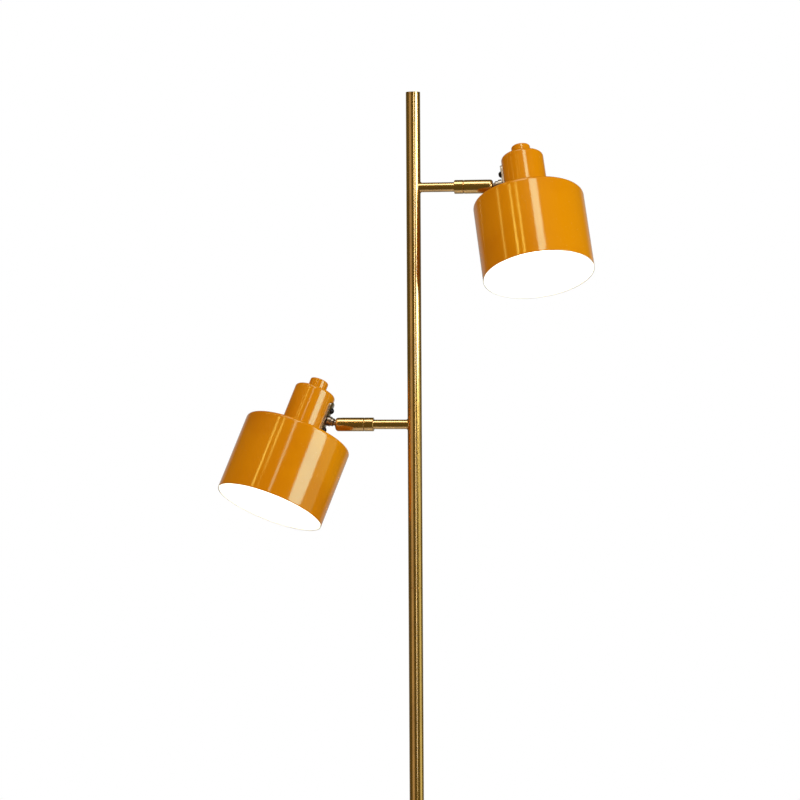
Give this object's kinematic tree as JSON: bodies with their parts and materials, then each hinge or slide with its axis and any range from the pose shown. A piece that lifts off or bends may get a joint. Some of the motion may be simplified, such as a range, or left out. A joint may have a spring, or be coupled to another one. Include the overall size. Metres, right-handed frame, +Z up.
{
  "type": "pole floor lamp",
  "caption": "Slim brass pole floor lamp with a round weighted foot and drum spot heads on side arms, each on a slotted ball swivel.",
  "frame": {"origin": "centre of the foot's flat underside, on the floor, on the pole's axis", "axes": "+Z up along the pole; +X along the upper arm, the lower arm points along -X; +Y to the back, where the cord inlet is"},
  "size_m": [0.3931, 0.2623, 1.45],
  "materials": {
    "antique_brass": "antique brass finish, brushed along its length",
    "pale_brass": "bright pale brass",
    "mustard_enamel": "glossy mustard enamel, white inside",
    "black_screw": "black oxide",
    "zinc_steel": "zinc plated",
    "cast_iron": "rough casting",
    "white_plastic": "moulded",
    "black_rubber": "matt",
    "opal_glass": "opal"
  },
  "bodies": {
    "stand": {"base_pad": "black_rubber", "base_weight": "cast_iron", "base_cover": "antique_brass", "cord_bushing": "black_rubber", "base_washer": "zinc_steel", "base_nut": "zinc_steel", "base_nipple": "zinc_steel", "lower_pole": "antique_brass", "middle_pole": "antique_brass", "upper_pole": "antique_brass", "pole_foot_insert": "zinc_steel", "lower_coupler": "zinc_steel", "upper_coupler": "zinc_steel", "pole_top_plug": "antique_brass", "upper_arm": "antique_brass", "upper_collar": "antique_brass", "lower_arm": "antique_brass", "lower_collar": "antique_brass"},
    "upper_socket": {"upper_socket": "antique_brass", "upper_ball_seat": "white_plastic", "upper_seat_springs": "zinc_steel"},
    "upper_stud": {"upper_ball_stud": "pale_brass"},
    "upper_head": {"upper_bracket": "pale_brass", "upper_bracket_screws": "black_screw", "upper_bracket_nuts": "zinc_steel", "upper_neck": "mustard_enamel", "upper_cap": "mustard_enamel", "upper_holder_nipple": "zinc_steel", "upper_nipple_nut": "zinc_steel", "upper_lampholder": "white_plastic", "upper_holder_ring": "white_plastic", "upper_bulb_base": "zinc_steel", "upper_bulb_glass": "opal_glass", "upper_shade": "mustard_enamel"},
    "lower_socket": {"lower_socket": "antique_brass", "lower_ball_seat": "white_plastic", "lower_seat_springs": "zinc_steel"},
    "lower_stud": {"lower_ball_stud": "pale_brass"},
    "lower_head": {"lower_bracket": "pale_brass", "lower_bracket_screws": "black_screw", "lower_bracket_nuts": "zinc_steel", "lower_neck": "mustard_enamel", "lower_cap": "mustard_enamel", "lower_holder_nipple": "zinc_steel", "lower_nipple_nut": "zinc_steel", "lower_lampholder": "white_plastic", "lower_holder_ring": "white_plastic", "lower_bulb_base": "zinc_steel", "lower_bulb_glass": "opal_glass", "lower_shade": "mustard_enamel"}
  },
  "joints": [
    {"name": "upper_socket_turn", "type": "hinge", "parent": "stand", "child": "upper_socket", "pos_m": [0.079, 0, 1.351], "axis": [1, 0, 0], "range_deg": [-143, 187]},
    {"name": "upper_ball_tilt", "type": "hinge", "parent": "upper_socket", "child": "upper_stud", "pos_m": [0.079, 0, 1.351], "axis": [0, -0.9272, 0.3746], "range_deg": [-24.5, 80.5]},
    {"name": "upper_head_spin", "type": "hinge", "parent": "upper_stud", "child": "upper_head", "pos_m": [0.079, 0, 1.351], "axis": [0.9863, 0.0618, 0.153], "range_deg": [-90, 90]},
    {"name": "lower_socket_turn", "type": "hinge", "parent": "stand", "child": "lower_socket", "pos_m": [-0.079, 0, 1.105], "axis": [-1, 0, 0], "range_deg": [-187, 143]},
    {"name": "lower_ball_tilt", "type": "hinge", "parent": "lower_socket", "child": "lower_stud", "pos_m": [-0.079, 0, 1.105], "axis": [0, 0.9272, -0.3746], "range_deg": [-32.5, 72.5]},
    {"name": "lower_head_spin", "type": "hinge", "parent": "lower_stud", "child": "lower_head", "pos_m": [-0.079, 0, 1.105], "axis": [-0.9537, 0.1126, 0.2788], "range_deg": [-90, 90]}
  ]
}
